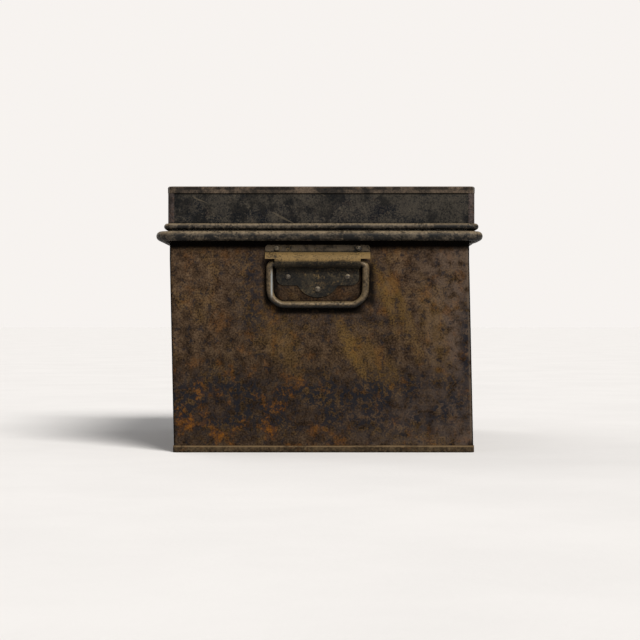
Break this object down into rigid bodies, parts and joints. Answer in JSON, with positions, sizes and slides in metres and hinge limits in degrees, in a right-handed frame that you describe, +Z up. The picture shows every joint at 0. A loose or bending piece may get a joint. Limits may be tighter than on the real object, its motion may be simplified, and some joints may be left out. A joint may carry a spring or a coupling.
{
  "type": "deed box",
  "caption": "Sheet-steel deed box with a hinged lid, rolled rim beads, a drop handle on each end and a box lock inside the front wall.",
  "frame": {"origin": "centre of the bounding box at its bottom, under the middle of the rim bead, on the floor", "axes": "+X across the end of the box from the lock side to the hinge side, +Y along the box to the far handle, +Z up"},
  "size_m": [0.3248, 0.4268, 0.264],
  "materials": {
    "painted_body": "worn brown japanned paint with rust",
    "rim_paint": "worn paint, tan on top",
    "lid_paint": "near black worn paint",
    "cap_paint": "worn brown paint",
    "handle_paint": "worn paint with tan highlights",
    "inner_tin": "dull tinned steel",
    "wire_steel": "dull steel wire",
    "bail_steel": "dull steel with worn paint",
    "rivet_steel": "dull steel",
    "hinge_steel": "worn brown paint",
    "lock_brass": "aged brass"
  },
  "bodies": {
    "box": {"body_shell": "painted_body", "base_pan": "painted_body", "rim_moulding": "rim_paint", "rim_wire": "wire_steel", "dust_collar": "inner_tin", "handle_plate_near": "handle_paint", "handle_plate_far": "handle_paint", "handle_rivets_near": "rivet_steel", "handle_rivets_far": "rivet_steel", "hinge_leaves_body": "hinge_steel", "hinge_pins": "wire_steel", "hinge_rivets_body": "rivet_steel", "lock_case": "inner_tin", "lock_cover": "inner_tin", "bolt_rails": "inner_tin", "key_post": "wire_steel", "key_wards": "lock_brass", "lock_rivets": "rivet_steel", "escutcheon": "lock_brass", "escutcheon_pins": "lock_brass"},
    "lid": {"lid_wall": "lid_paint", "lid_wire": "wire_steel", "lid_corner_strips": "cap_paint", "lid_cap": "cap_paint", "hinge_leaves_lid": "hinge_steel", "hinge_rivets_lid": "rivet_steel", "lid_staple": "hinge_steel", "staple_rivets": "rivet_steel"},
    "bail_near": {"bail_near": "bail_steel"},
    "bail_far": {"bail_far": "bail_steel"},
    "bolt": {"lock_bolt": "lock_brass"}
  },
  "joints": [
    {"name": "lid_hinge", "type": "hinge", "parent": "box", "child": "lid", "pos_m": [0.1574, 0, 0.2147], "axis": [0, 1, 0], "range_deg": [0, 190]},
    {"name": "near_bail_hinge", "type": "hinge", "parent": "box", "child": "bail_near", "pos_m": [-0.0018, -0.2045, 0.1876], "axis": [-1, 0, 0], "range_deg": [0, 90]},
    {"name": "far_bail_hinge", "type": "hinge", "parent": "box", "child": "bail_far", "pos_m": [-0.0018, 0.2045, 0.1876], "axis": [1, 0, 0], "range_deg": [0, 90]},
    {"name": "bolt_slide", "type": "slide", "parent": "box", "child": "bolt", "axis": [0, 1, 0], "range_m": [0, 0.008]}
  ]
}
